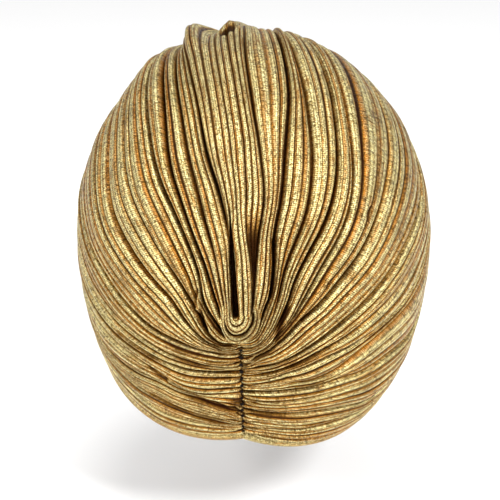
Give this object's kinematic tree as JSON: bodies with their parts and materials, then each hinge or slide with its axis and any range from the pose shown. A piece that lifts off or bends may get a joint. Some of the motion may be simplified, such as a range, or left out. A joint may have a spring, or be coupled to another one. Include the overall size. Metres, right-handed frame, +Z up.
{
  "type": "pleated turban cap",
  "caption": "Close turban cap of pleated gold knit, with pleats that run from a back seam round each side, a raised centre fold over the crown and a turned edge.",
  "frame": {"origin": "point under the crown where the cap bears on the head", "axes": "+Z up out of the crown, +Y out of the back seam, the face side at -Y and the wearer's left side at +X"},
  "size_m": [0.1829, 0.2033, 0.2011],
  "materials": {
    "left_panel": "pleated gold lurex knit with a soft metallic sheen",
    "right_panel": "pleated gold lurex knit with a soft metallic sheen",
    "centre_fold": "folded gold lurex knit with a soft metallic sheen",
    "edge_roll": "turned edge of gold lurex knit"
  },
  "bodies": {
    "root": {"left_panel": "left_panel", "right_panel": "right_panel", "centre_fold": "centre_fold", "edge_roll": "edge_roll"}
  },
  "joints": []
}
